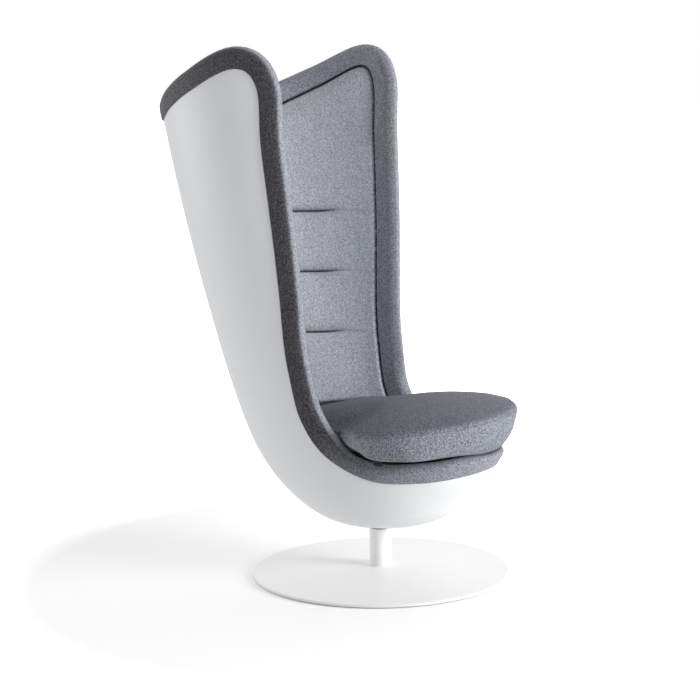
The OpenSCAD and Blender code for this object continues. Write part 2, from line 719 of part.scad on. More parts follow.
module seat_cushion() {
    sides = [for (s = side_shares) [for (row = cushion_plan)
        cushion_side(row, s[0], s[1] * cushion_foot_round + s[2] * cushion_edge_round)]];
    edge = sides[len(sides) - 1];
    crown = [for (f = crown_shares) [for (p = edge) let (y = cushion_middle + (p.y - cushion_middle) * f)
        [p.x * f, y, cushion_z + cushion_height(y) + cushion_crown * (1 - pow(f, 2.2))]]];
    rings = concat(sides, crown);
    m = len(cushion_plan);
    n = len(rings);
    points = concat([for (r = rings) each r], [[0, cushion_middle, cushion_z],
        [0, cushion_middle, cushion_z + cushion_height(cushion_middle) + cushion_crown]]);
    faces = concat(
        [for (j = [0 : m - 1]) [j, (j + 1) % m, n * m]],
        [for (i = [0 : n - 2], j = [0 : m - 1]) let (k = (j + 1) % m) each
            quad(i * m + k, i * m + j, (i + 1) * m + j, (i + 1) * m + k)],
        [for (j = [0 : m - 1]) [(n - 1) * m + (j + 1) % m, (n - 1) * m + j, n * m + 1]]);
    color(felt_grey)
        polyhedron(points, faces, convexity = 4);
}

// Bare tag: sewn flat under the cushion at one side, and folded down where the side starts to rise
tag_t = tag_w / 24;
tag_row = 5;

module cushion_tag() {
    p = cushion_side(plan_at(tag_row), 0, side_shares[0][1] * cushion_foot_round);
    q = plan_at(tag_row + small) - plan_at(tag_row - small);
    color("#1c1d20")
        translate([-p.x, p.y, cushion_z - seat_gap])
            rotate([0, 0, atan2(-q.y, q.x)]) {
                translate([-tag_w / 2, 0, -tag_t])
                    cube([tag_w, tag_w, tag_t]);
                translate([-tag_w / 2, 0, -tag_drop])
                    cube([tag_w, tag_t, tag_drop]);
            }
}

floor_mat();
base_plate();
base_screws();
foot_plug();
column_tube();
lower_bush();
upper_bush();
thrust_washer();
spindle();
retaining_washer();
retaining_nut();
shell_grommet();
pod_shell();
foot_block();
swivel_plate();
plate_screws();
top_washer();
spindle_nut();
seat_pedestal();
seat_deck();
deck_screws();
deck_felt();
inner_liner();
liner_buffers();
back_pad();
rim_pad();
seat_cushion();
cushion_tag();
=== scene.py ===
# Pod chair: a moulded shell with a felt rim, a back pad and a loose cushion, on a swivel base
import bpy, bmesh, json, math
import numpy as np
from mathutils import kdtree, Matrix, Vector, noise
from mathutils.bvhtree import BVHTree


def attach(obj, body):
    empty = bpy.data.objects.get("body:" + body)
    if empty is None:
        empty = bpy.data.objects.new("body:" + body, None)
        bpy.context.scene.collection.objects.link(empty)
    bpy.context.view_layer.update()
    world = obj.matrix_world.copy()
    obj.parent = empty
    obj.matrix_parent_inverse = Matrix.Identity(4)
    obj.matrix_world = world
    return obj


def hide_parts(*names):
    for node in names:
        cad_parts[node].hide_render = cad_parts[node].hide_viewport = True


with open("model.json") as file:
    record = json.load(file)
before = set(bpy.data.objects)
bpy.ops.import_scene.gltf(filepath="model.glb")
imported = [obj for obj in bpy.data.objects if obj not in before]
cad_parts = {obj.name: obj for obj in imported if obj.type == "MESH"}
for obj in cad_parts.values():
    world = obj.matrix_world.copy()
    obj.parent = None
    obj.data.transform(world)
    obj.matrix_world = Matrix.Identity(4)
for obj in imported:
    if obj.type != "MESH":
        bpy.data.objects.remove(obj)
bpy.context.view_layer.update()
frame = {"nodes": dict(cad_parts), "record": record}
print("frame loaded")

mm = 0.001
nodes = frame["nodes"]

# surface of the pod
pod = {
    "bottomZ": 137, "height": 1283, "width": 736, "back": 630,
    "shellT": 6, "linerGap": 4, "linerT": 4,
    "keelInset": 1.5,  # how much faster the middle of an inset rib comes in than its ends
}
sectionShares = np.array([  # height, half width, centre, half depth behind, half depth in front
    [0.000, 0.000, 0.000, 0.000, 0.000],
    [0.021, 0.380, -0.008, 0.238, 0.254],
    [0.079, 0.565, 0.016, 0.406, 0.432],
    [0.162, 0.666, 0.056, 0.505, 0.584],
    [0.283, 0.728, 0.167, 0.492, 0.571],
    [0.454, 0.804, 0.278, 0.479, 0.492],
    [0.649, 0.891, 0.335, 0.524, 0.521],
    [0.829, 0.957, 0.378, 0.559, 0.559],
    [1.000, 1.000, 0.416, 0.581, 0.584]])
rimShares = np.array([  # angle from the front, level of the edge, level where the rib crosses the middle
    [0.0, 2.82, -2.82], [23.3, 2.76, -1.80], [46.3, 2.67, -0.30], [70.0, 2.71, 1.40],
    [86.5, 3.15, 2.80], [90.3, 3.78, 3.74], [86.1, 4.48, 4.48], [78.9, 5.25, 5.25],
    [76.4, 6.13, 6.08], [75.6, 6.91, 6.55], [74.2, 7.58, 6.77], [83.0, 7.79, 6.87],
    [106.9, 7.53, 6.98], [122.0, 7.36, 7.03], [139.0, 7.19, 7.05], [159.0, 7.13, 7.08],
    [180.0, 7.10, 7.10]])
rimLast = len(rimShares) - 1

sectionRows = np.vstack([sectionShares[1] * [1, -1, 1, -1, -1], sectionShares,
                         2 * sectionShares[-1] - sectionShares[-2]])
rimMirror = np.array([-1, 1, 1])
rimRows = np.vstack([rimShares[2] * rimMirror, rimShares[1] * rimMirror, rimShares,
                     [360, 0, 0] + rimShares[-2] * rimMirror, [360, 0, 0] + rimShares[-3] * rimMirror])


def smoothRows(rows, at, first):  # smooth curve through the rows of a table, at places counted in rows
    at = np.asarray(at, float)
    i = np.clip(np.floor(at).astype(int), 1 - first, len(rows) - first - 3)
    f = (at - i)[..., None]
    a, b, c, d = (rows[i + first + k] for k in (-1, 0, 1, 2))
    return (2 * b + (c - a) * f + (2 * a - 5 * b + 4 * c - d) * f ** 2 + (3 * b - a - 3 * c + d) * f ** 3) / 2


def podPoint(x, y):  # x, y: plan whose radius counts the sections; gives millimetres
    s = smoothRows(sectionRows, np.hypot(x, y), 1)
    angle = np.arctan2(x, -y)
    c = np.cos(angle)
    depth = np.where(c > 0, s[..., 4], s[..., 3])
    return np.stack([s[..., 1] * np.sin(angle) * pod["width"] / 2, (s[..., 2] - depth * c) * pod["back"],
                     pod["bottomZ"] + s[..., 0] * pod["height"]], -1)


def podSlopes(x, y, e=1e-3):
    return ((podPoint(x + e, y) - podPoint(x - e, y)) / (2 * e),
            (podPoint(x, y + e) - podPoint(x, y - e)) / (2 * e))


def unit(v):
    return v / np.linalg.norm(v, axis=-1, keepdims=True)


def podNormal(x, y):
    ax, ay = podSlopes(x, y)
    return unit(np.cross(ay, ax))


def rimPlace(t):
    r = smoothRows(rimRows, t, 2)
    a = np.radians(r[..., 0])
    return r[..., 1] * np.sin(a), -r[..., 1] * np.cos(a), r[..., 2]


def rimFrame(t):  # point of the edge, direction out of the shell's edge, and outward normal
    x, y, _ = rimPlace(t)
    x1, y1, _ = rimPlace(t + 1e-3)
    x0, y0, _ = rimPlace(t - 1e-3)
    normal = podNormal(x, y)
    return podPoint(x, y), unit(np.cross(normal, podPoint(x1, y1) - podPoint(x0, y0))), normal


def ribPlace(t, u, inset=0.0):  # plan place on rib t, from one edge (u = -1) to the other (u = 1)
    x, y, k = rimPlace(t)
    if inset:
        _, out, _ = rimFrame(t)
        ax, ay = podSlopes(x, y)
        step = -inset * out
        f, g = (ax * step).sum(-1), (ay * step).sum(-1)
        xx, xy, yy = (ax * ax).sum(-1), (ax * ay).sum(-1), (ay * ay).sum(-1)
        d = xx * yy - xy * xy
        x, y = x + (f * yy - g * xy) / d, y + (g * xx - f * xy) / d
        k = k * (1 - pod["keelInset"] * inset / pod["height"])
    d = k - y
    d = np.where(np.abs(d) < 1e-7, 1e-7, d)
    r = (x * x + d * d) / (2 * d)
    half = 2 * np.arctan2(d, x)
    return r * np.sin(u * half), k - r * (1 - np.cos(u * half))


def inside(x, y, depth):  # place at a depth below the outer face
    return podPoint(x, y) - np.asarray(depth)[..., None] * podNormal(x, y)


# mesh helpers
def newObject(name, points, faces, smoothAngle=None):
    mesh = bpy.data.meshes.new(name)
    mesh.from_pydata([tuple(p) for p in np.asarray(points) * mm], [], [tuple(int(i) for i in f) for f in faces])
    mesh.validate()
    b = bmesh.new()
    b.from_mesh(mesh)
    bmesh.ops.recalc_face_normals(b, faces=b.faces)
    b.to_mesh(mesh)
    b.free()
    mesh.shade_smooth()
    if smoothAngle:
        mesh.set_sharp_from_angle(angle=math.radians(smoothAngle))
    piece = bpy.data.objects.new(name, mesh)
    bpy.context.collection.objects.link(piece)
    return piece


def wallNet(front, back, frontEnd, backEnd, frontStart=None, backStart=None):
    # closed wall between two nets of rows and columns, which close on a point past the last row
    rows, cols = front.shape[:2]
    n = rows * cols
    points = np.vstack([front.reshape(-1, 3), back.reshape(-1, 3), [frontEnd, backEnd]]
                       + ([[frontStart, backStart]] if frontStart is not None else []))
    faces = []
    for i in range(rows - 1):
        for j in range(cols - 1):
            k, l = i * cols + j, (i + 1) * cols + j
            faces.append((k, k + 1, l + 1, l))
            faces.append((n + k, n + l, n + l + 1, n + k + 1))
        k, l = i * cols, (i + 1) * cols
        faces.append((k, l, n + l, n + k))
        k, l = k + cols - 1, l + cols - 1
        faces.append((k, n + k, n + l, l))
    top = (rows - 1) * cols
    for j in range(cols - 1):
        faces.append((top + j, top + j + 1, 2 * n))
        faces.append((n + top + j + 1, n + top + j, 2 * n + 1))
        if frontStart is not None:
            faces.append((j + 1, j, 2 * n + 2))
            faces.append((n + j, n + j + 1, 2 * n + 3))
        else:
            faces.append((j, n + j, n + j + 1, j + 1))
    faces += [(top, 2 * n, 2 * n + 1, n + top), (top + cols - 1, n + top + cols - 1, 2 * n + 1, 2 * n)]
    if frontStart is not None:
        faces += [(2 * n + 2, 0, n, 2 * n + 3), (cols - 1, 2 * n + 2, 2 * n + 3, n + cols - 1)]
    return points, faces


def ringFaces(count, m, closed):  # faces between rings of m points, and from the last ring to the first
    return [(i * m + j, i * m + (j + 1) % m, (i + 1) % count * m + (j + 1) % m, (i + 1) % count * m + j)
            for i in range(count if closed else count - 1) for j in range(m)]


def addMask(piece, name, values):  # one value for each point, 0 for the points past the last value
    flat = np.zeros(len(piece.data.vertices), np.float32)
    flat[:values.size] = values.reshape(-1)
    piece.data.attributes.new(name, "FLOAT", "POINT").data.foreach_set("value", flat)


def between(x, start, end):  # 0 at the start, 1 at the end, straight between them
    return np.clip((x - start) / (end - start), 0, 1)


def smoothStep(x, start, end):
    x = between(x, start, end)
    return x * x * (3 - 2 * x)


def columnsAcross(count):
    x = np.linspace(-1, 1, count + 1)
    return (x + np.sin(np.pi / 2 * x)) / 2


def softNoise(points, size, seed):  # gentle noise from -1 to 1, at a size in millimetres
    shift = Vector((seed * 7.3, seed * 3.1, seed * 5.7))
    return np.array([noise.noise(Vector(p) / size + shift) for p in points])


# materials
feltLook = {
    "tuftScale": 250, "fibreScale": 900, "cloudScale": 22, "tuftShare": 0.68, "fibreShare": 0.32,
    "spread": 5.2, "cloudShare": 0.1, "roughness": 0.84, "roughShift": 0.12,
    "sheenRoughness": 0.6, "specular": 0.15, "bumpDistance": 0.0012,
}
grainLook = {"broadScale": 6.0, "roughShift": 0.16, "coatRoughness": 0.25, "bumpDistance": 0.0004}


def newGroup(name, inputs, outputs):
    group = bpy.data.node_groups.new(name, "ShaderNodeTree")
    for title, kind, value in inputs:
        s = group.interface.new_socket(title, in_out="INPUT", socket_type=kind)
        s.default_value = value
    for title, kind in outputs:
        group.interface.new_socket(title, in_out="OUTPUT", socket_type=kind)
    return group, group.nodes.new("NodeGroupInput"), group.nodes.new("NodeGroupOutput")


def addNode(tree, kind, links=None, **settings):
    n = tree.nodes.new(kind)
    for key, value in settings.items():
        if hasattr(n, key):
            setattr(n, key, value)
    for socket, source in (links or {}).items():
        if hasattr(source, "is_linked") or hasattr(source, "links"):
            tree.links.new(source, n.inputs[socket])
        else:
            n.inputs[socket].default_value = source
    return n


def math2(tree, operation, a, b=0.0, clamp=False):
    n = addNode(tree, "ShaderNodeMath", {0: a, 1: b}, operation=operation, use_clamp=clamp)
    return n.outputs[0]


def mixColour(tree, factor, a, b, blend="MIX"):
    n = tree.nodes.new("ShaderNodeMix")
    n.data_type = "RGBA"
    n.blend_type = blend
    for socket, source in ((n.inputs[0], factor), (n.inputs[6], a), (n.inputs[7], b)):
        if hasattr(source, "links"):
            tree.links.new(source, socket)
        else:
            socket.default_value = source
    return n.outputs[2]


def noiseTexture(tree, coords, scale, detail=2.0, roughness=0.5, distortion=0.0):
    n = addNode(tree, "ShaderNodeTexNoise", {"Vector": coords, "Detail": detail, "Roughness": roughness,
                                             "Distortion": distortion})
    if hasattr(scale, "links"):
        tree.links.new(scale, n.inputs["Scale"])
    else:
        n.inputs["Scale"].default_value = scale
    return n.outputs["Fac"]


def ramp(tree, value, start, end):  # 0 below start, 1 above end
    n = addNode(tree, "ShaderNodeMapRange", {"Value": value, "From Min": start, "From Max": end}, clamp=True)
    return n.outputs["Result"]


def rgb(r, g, b):  # colour as seen, 0 to 255, to scene values
    return tuple(((c / 255 + 0.055) / 1.055) ** 2.4 if c > 10 else c / 255 / 12.92 for c in (r, g, b)) + (1.0,)


def makeFeltGroup():
    p = feltLook
    g, gi, go = newGroup("feltMelange", [
        ("Dark Fibre", "NodeSocketColor", (0.1, 0.1, 0.1, 1)),
        ("Light Fibre", "NodeSocketColor", (0.3, 0.3, 0.3, 1)),
        ("Fibre Scale", "NodeSocketFloat", 1.0), ("Contrast", "NodeSocketFloat", 1.0)],
        [("Colour", "NodeSocketColor"), ("Roughness", "NodeSocketFloat"), ("Height", "NodeSocketFloat")])
    coords = addNode(g, "ShaderNodeTexCoord").outputs["Object"]
    tuftScale, fibreScale, cloudScale = (
        math2(g, "MULTIPLY", gi.outputs["Fibre Scale"], p[k]) for k in ("tuftScale", "fibreScale", "cloudScale"))
    tufts = noiseTexture(g, coords, tuftScale, 3, 0.7, 0.6)
    fibres = noiseTexture(g, coords, fibreScale, 2, 0.6, 0.8)
    cloud = noiseTexture(g, coords, cloudScale, 2, 0.5)
    mixed = math2(g, "ADD", math2(g, "MULTIPLY", tufts, p["tuftShare"]),
                  math2(g, "MULTIPLY", fibres, p["fibreShare"]))
    spread = math2(g, "MULTIPLY", math2(g, "SUBTRACT", mixed, 0.5), gi.outputs["Contrast"])
    fac = math2(g, "ADD", math2(g, "MULTIPLY", spread, p["spread"]), 0.5, clamp=True)
    fac = math2(g, "ADD", math2(g, "MULTIPLY", fac, 1 - p["cloudShare"]),
                math2(g, "MULTIPLY", cloud, p["cloudShare"]), clamp=True)
    g.links.new(mixColour(g, fac, gi.outputs["Dark Fibre"], gi.outputs["Light Fibre"]), go.inputs["Colour"])
    rough = math2(g, "ADD", math2(g, "MULTIPLY", tufts, p["roughShift"]), p["roughness"])
    g.links.new(rough, go.inputs["Roughness"])
    g.links.new(mixed, go.inputs["Height"])
    return g


def makeGrainGroup():
    g, gi, go = newGroup("fineGrain", [
        ("Colour", "NodeSocketColor", (0.8, 0.8, 0.8, 1)), ("Tone Shift", "NodeSocketFloat", 0.05),
        ("Grain Scale", "NodeSocketFloat", 600.0), ("Roughness", "NodeSocketFloat", 0.4)],
        [("Colour", "NodeSocketColor"), ("Roughness", "NodeSocketFloat"), ("Height", "NodeSocketFloat")])
    coords = addNode(g, "ShaderNodeTexCoord").outputs["Object"]
    grain = noiseTexture(g, coords, gi.outputs["Grain Scale"], 2, 0.5)
    broad = noiseTexture(g, coords, grainLook["broadScale"], 3, 0.55)
    shift = math2(g, "SUBTRACT", broad, 0.5)
    level = math2(g, "ADD", math2(g, "MULTIPLY", shift, gi.outputs["Tone Shift"]), 1.0)
    tint = g.nodes.new("ShaderNodeCombineColor")
    for s in tint.inputs:
        g.links.new(level, s)
    g.links.new(mixColour(g, 1.0, gi.outputs["Colour"], tint.outputs[0], "MULTIPLY"), go.inputs["Colour"])
    rough = math2(g, "ADD", gi.outputs["Roughness"], math2(g, "MULTIPLY", shift, grainLook["roughShift"]))
    g.links.new(rough, go.inputs["Roughness"])
    g.links.new(grain, go.inputs["Height"])
    return g


def startMaterial(name):
    m = bpy.data.materials.new(name)
    m.use_nodes = True
    return m, m.node_tree, m.node_tree.nodes["Principled BSDF"]


def addBump(tree, shader, height, strength, distance):
    b = addNode(tree, "ShaderNodeBump", {"Strength": strength, "Distance": distance, "Height": height})
    tree.links.new(b.outputs["Normal"], shader.inputs["Normal"])


feltGroup = makeFeltGroup()
grainGroup = makeGrainGroup()


def feltNode(tree, darkFibre, lightFibre, scale, contrast):
    g = addNode(tree, "ShaderNodeGroup")
    g.node_tree = feltGroup
    g.inputs["Dark Fibre"].default_value = darkFibre
    g.inputs["Light Fibre"].default_value = lightFibre
    g.inputs["Fibre Scale"].default_value = scale
    g.inputs["Contrast"].default_value = contrast
    return g


def darken(tree, colour, mask, factors):  # multiplies the colour where the piece's mask is 1
    a = addNode(tree, "ShaderNodeAttribute", attribute_name=mask)
    return mixColour(tree, a.outputs["Fac"], colour, mixColour(tree, 1.0, colour, factors, "MULTIPLY"))


def feltMaterial(name, darkFibre, lightFibre, scale=1.0, contrast=1.0, sheen=0.25, bump=0.5,
                 outer=None, shaded=None, paintedShadeTone=None):
    m, t, s = startMaterial(name)
    g = feltNode(t, darkFibre, lightFibre, scale, contrast)
    colour = g.outputs["Colour"]
    if outer:  # painted shade: the outer side takes darker felt colours, which blend over the edge
        a = addNode(t, "ShaderNodeAttribute", attribute_name="paintedShadePanel")
        colour = mixColour(t, a.outputs["Fac"], colour, feltNode(t, *outer).outputs["Colour"])
    if shaded:  # painted shade: a panel of the piece is darkened, such as the cushion's top
        colour = darken(t, colour, "paintedShadePanel", shaded)
    if paintedShadeTone:  # painted shade in tucks, seams, folds and other spots that the piece's shade mask marks
        colour = darken(t, colour, "paintedShade", paintedShadeTone)
    t.links.new(colour, s.inputs["Base Color"])
    t.links.new(g.outputs["Roughness"], s.inputs["Roughness"])
    s.inputs["Sheen Weight"].default_value = sheen
    s.inputs["Sheen Roughness"].default_value = feltLook["sheenRoughness"]
    s.inputs["Specular IOR Level"].default_value = feltLook["specular"]
    addBump(t, s, g.outputs["Height"], bump, feltLook["bumpDistance"])
    return m


def grainMaterial(name, colour, roughness, metallic=0.0, coat=0.0, scale=600.0, bump=0.05, shift=0.05):
    m, t, s = startMaterial(name)
    g = addNode(t, "ShaderNodeGroup")
    g.node_tree = grainGroup
    g.inputs["Colour"].default_value = colour
    g.inputs["Roughness"].default_value = roughness
    g.inputs["Grain Scale"].default_value = scale
    g.inputs["Tone Shift"].default_value = shift
    t.links.new(g.outputs["Colour"], s.inputs["Base Color"])
    t.links.new(g.outputs["Roughness"], s.inputs["Roughness"])
    s.inputs["Metallic"].default_value = metallic
    s.inputs["Coat Weight"].default_value = coat
    s.inputs["Coat Roughness"].default_value = grainLook["coatRoughness"]
    addBump(t, s, g.outputs["Height"], bump, grainLook["bumpDistance"])
    return m


finish = {
    # painted shade: the rim's dark outer felt colours darken its outer side, and its shade tone darkens the seam, the
    # nose and where it meets the cushion
    "rimFelt": feltMaterial("rimFelt", rgb(87, 90, 98), rgb(175, 178, 186), contrast=0.95, sheen=0.15,
                            outer=(rgb(19, 19, 22), rgb(93, 92, 97), 1.0, 1.3), paintedShadeTone=(0.1, 0.1, 0.1, 1)),
    # painted shade: the pad's shade tone darkens tucks, seams, folds, its edge, under the top rim, the middle and
    # above the cushion
    "padFelt": feltMaterial("padFelt", rgb(145, 148, 156), rgb(236, 239, 246), paintedShadeTone=(0.06, 0.06, 0.06, 1)),
    # painted shade: the cushion's panel tone darkens its top, and its shade tone darkens the top seam and the side
    # beside the rim
    "cushionFelt": feltMaterial("cushionFelt", rgb(72, 75, 83), rgb(156, 159, 167), contrast=1.2, sheen=0.1,
                                shaded=(0.5, 0.51, 0.54, 1), paintedShadeTone=(0.3, 0.3, 0.3, 1)),
    "matFelt": feltMaterial("matFelt", rgb(20, 21, 23), rgb(44, 45, 48), sheen=0.05),
    "tagTape": feltMaterial("tagTape", rgb(20, 21, 23), rgb(42, 43, 46), scale=2.0, sheen=0.1, bump=0.25),
    "shellWhite": grainMaterial("shellWhite", rgb(230, 231, 233), 0.38, coat=0.15, scale=900, bump=0.02, shift=0.02),
    "metalWhite": grainMaterial("metalWhite", rgb(243, 243, 242), 0.42, scale=1400, bump=0.12, shift=0.02),
    "zincSteel": grainMaterial("zincSteel", rgb(186, 189, 193), 0.34, metallic=1.0, scale=300, bump=0.05),
    "blackMoulding": grainMaterial("blackMoulding", rgb(48, 50, 54), 0.5, scale=800, bump=0.1),
    "linerMoulding": grainMaterial("linerMoulding", rgb(206, 208, 211), 0.5, scale=700, bump=0.08),
    # painted shade: the seat deck's ply is dark so that it reads as shade where it shows in the gap beside the
    # cushion
    "paintedShadePly": grainMaterial("paintedShadePly", rgb(46, 43, 41), 0.6, scale=90, bump=0.15, shift=0.2),
    "birchPly": grainMaterial("birchPly", rgb(216, 185, 138), 0.55, scale=90, bump=0.15, shift=0.2),
}
# stained_birch takes the dark ply, which is painted shade for the deck where it shows beside the cushion
slotFinish = {
    "white_shell": "shellWhite", "white_metal": "metalWhite", "grey_felt": "rimFelt", "dark_felt": "matFelt",
    "black_tape": "tagTape", "birch": "birchPly", "stained_birch": "paintedShadePly", "steel": "zincSteel",
    "black_plastic": "blackMoulding", "liner_plastic": "linerMoulding",
}
for part in frame["record"]["subparts"]:
    solid = nodes[part["node"]]
    if not solid.material_slots:
        solid.data.materials.append(None)
    for s in solid.material_slots:
        s.material = finish[slotFinish[part["material_slot"]]]
print("materials made")


def dress(piece, body, material, slotName, *replaced):
    piece.data.materials.clear()
    piece.data.materials.append(finish[material])
    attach(piece, body)
    if replaced:
        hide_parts(*replaced)


# shell
shellSkin = {"ribsPerRow": 9, "strips": 64, "sharpAngle": 50, "holeD": 56, "holeSpan": (-20, 40), "holeSides": 96}


def makeShell():
    p = shellSkin
    t = np.arange(1, rimLast * p["ribsPerRow"]) / p["ribsPerRow"]
    tt, uu = np.meshgrid(t, columnsAcross(p["strips"]), indexing="ij")
    x, y = ribPlace(tt, uu)
    keel0, keelN = rimShares[0][2], rimShares[-1][2]
    ends = [inside(np.array([0.0]), np.array([k]), [d])[0] for k, d in
            ((keelN, 0), (keelN, pod["shellT"]), (keel0, 0), (keel0, pod["shellT"]))]
    points, faces = wallNet(inside(x, y, np.zeros_like(x)), inside(x, y, np.full_like(x, pod["shellT"])), *ends)
    shell = newObject("shellSkin", points, faces, p["sharpAngle"])
    levels = [pod["bottomZ"] + z for z in p["holeSpan"]]
    cutter = newObject("holeCutter", *tubePoints(p["holeD"] / 2, *levels, p["holeSides"]))
    cut = shell.modifiers.new("hole", "BOOLEAN")
    cut.object = cutter
    cut.solver = "EXACT"
    applyModifiers(shell)
    bpy.data.objects.remove(cutter)
    shell.data.set_sharp_from_angle(angle=math.radians(p["sharpAngle"]))
    dress(shell, "pod", "shellWhite", "white_shell", "pod_shell")


def tubePoints(radius, z0, z1, count):
    a = np.arange(count) * 2 * math.pi / count
    ring = np.stack([radius * np.cos(a), radius * np.sin(a)], -1)
    points = np.vstack([np.c_[ring, np.full(count, z)] for z in (z0, z1)])
    faces = [tuple(range(count))[::-1], tuple(range(count, 2 * count))]
    faces += [(i, (i + 1) % count, count + (i + 1) % count, count + i) for i in range(count)]
    return points, faces


def applyModifiers(piece):
    dg = bpy.context.evaluated_depsgraph_get()
    done = bpy.data.meshes.new_from_object(piece.evaluated_get(dg))
    old = piece.data
    piece.modifiers.clear()
    piece.data = done
    bpy.data.meshes.remove(old)


makeShell()
print("shell made")

# rim pad
rimPad = {
    "reach": 56, "thick": 48, "proud": 5, "lap": 5, "crown": 0.6,
    "seamGap": 0.6, "wallGap": 0.5, "grooveFrom": -2, "grooveTop": -3, "innerEnd": -24,
    "outerRound": 6, "outerPoints": 6, "innerRound": 6, "innerPoints": 7,
    "flatFrom": 8, "flatShares": (0.25, 0.5, 0.75), "innerShares": (0.3, 0.6, 0.85),
    "noseShare": 0.4, "bluntness": 0.92, "nosePoints": 21,
    "lean": 14, "leanRows": 3, "stationsPerRow": 9,
    "reachShares": ((0, 0.89), (1, 0.95), (2, 0.89), (3, 0.75), (3.6, 0.70), (4.2, 0.96), (4.6, 1)),
    # painted shade on the outer side, in darker felt colours, by row and share of the thickness
    "paintedShadeFrom": ((0, 0.36), (5, 0.34), (6.5, 0.2), (10, 0.2), (11.5, 0.34), (16, 0.34)),
    "paintedShadeFade": 0.15, "lipTone": 0.12, "lipRows": (2.4, 4.6), "topFade": 0.2, "topRows": (10.5, 12),
    # shade in the seam towards the back pad, and on the inner half of the nose
    "seamReach": (-1, -3.5), "seamBelow": -20, "seamRows": (4, 4.5),
    "noseShade": 0.45, "noseRows": (4.8, 5.8, 10, 11), "noseTurn": (5, -20), "noseBack": (-95, -55),
}


def arc(x, y, radius, start, end, count):  # angles in degrees
    return [(x + radius * math.cos(a), y + radius * math.sin(a)) for a in np.radians(np.linspace(start, end, count))]


def rimSection(reach):  # across the edge: lengths out of the edge and out of the face, anticlockwise
    p = rimPad
    gap, inner, outer = p["seamGap"], p["innerRound"], p["outerRound"]
    nose = p["noseShare"] * p["reach"]
    flatEnd = reach - nose
    innerFace = p["proud"] - p["thick"]
    wall = -(pod["shellT"] + pod["linerGap"] + pod["linerT"]) - p["wallGap"]
    points = [(-p["lap"], wall), (p["grooveFrom"], wall), (gap, wall), (gap, wall / 2), (gap, p["grooveTop"])]
    points += arc(gap + outer, p["proud"] - outer, outer, 180, 90, p["outerPoints"])
    for f in p["flatShares"]:
        along = p["flatFrom"] + (flatEnd - p["flatFrom"]) * f
        points.append((along, p["proud"] + p["crown"] * math.sin(math.pi * f)))
    for a in np.radians(np.linspace(90, -90, p["nosePoints"])):
        blunt = abs(math.cos(a)) ** p["bluntness"]
        points.append((flatEnd + nose * blunt, p["proud"] - p["thick"] / 2 * (1 - math.sin(a))))
    for f in p["innerShares"]:
        points.append((flatEnd + (p["flatFrom"] - flatEnd) * f, innerFace))
    points += arc(inner - p["lap"], innerFace + inner, inner, -90, -180, p["innerPoints"])
    points.append((-p["lap"], p["innerEnd"]))
    return np.array(points)


def rimMasks(row, s, reach):  # share of the painted shade on the outer side, and painted shade in the seam and on the nose, round one section
    p = rimPad
    start = p["proud"] - p["thick"] * np.interp(row, *zip(*p["paintedShadeFrom"]))
    outer = smoothStep(s[:, 1], start, start + p["thick"] * p["paintedShadeFade"])
    outer *= p["lipTone"] + (1 - p["lipTone"]) * between(row, *p["lipRows"])
    outer *= 1 - p["topFade"] * between(row, *p["topRows"])
    seam = between(s[:, 0], *p["seamReach"]) * (s[:, 1] < p["seamBelow"]) * between(row, *p["seamRows"])
    nose = p["noseShare"] * p["reach"]
    turned = np.degrees(np.arctan2((s[:, 1] - p["proud"]) / (p["thick"] / 2) + 1, (s[:, 0] - reach) / nose + 1))
    first, full, last, end = p["noseRows"]
    shade = p["noseShade"] * smoothStep(turned, *p["noseTurn"]) * smoothStep(turned, *p["noseBack"])
    shade *= smoothStep(row, first, full) * smoothStep(row, end, last)
    return outer, np.maximum(seam, shade)


def makeRimPad():
    p = rimPad
    t = np.arange(rimLast * p["stationsPerRow"] + 1) / p["stationsPerRow"]
    at, out, normal = rimFrame(t)
    rings, outer, shade = [], [], []
    for i, row in enumerate(t):
        reach = p["reach"] * np.interp(row, *zip(*p["reachShares"]))
        s = rimSection(reach)
        masks = rimMasks(row, s, reach)
        lean = p["lean"] * max(0, 1 - (row / p["leanRows"]) ** 2)
        s[:, 1] += lean * (np.maximum(s[:, 0], 0) / reach) ** 2
        rings.append(at[i] + s[:, :1] * out[i] + s[:, 1:] * normal[i])
        outer.append(masks[0])
        shade.append(masks[1])
    rings = np.array(rings)
    rings = np.concatenate([rings, rings[-2:0:-1] * [-1, 1, 1]])
    pad = newObject("rimPadFelt", rings.reshape(-1, 3), ringFaces(*rings.shape[:2], closed=True))
    for name, rows in (("paintedShadePanel", np.array(outer)), ("paintedShade", np.array(shade))):
        addMask(pad, name, np.concatenate([rows, rows[-2:0:-1]]))
    dress(pad, "pod", "rimFelt", "grey_felt", "rim_pad")
    return pad


rimFelt = makeRimPad()
print("rim pad made")

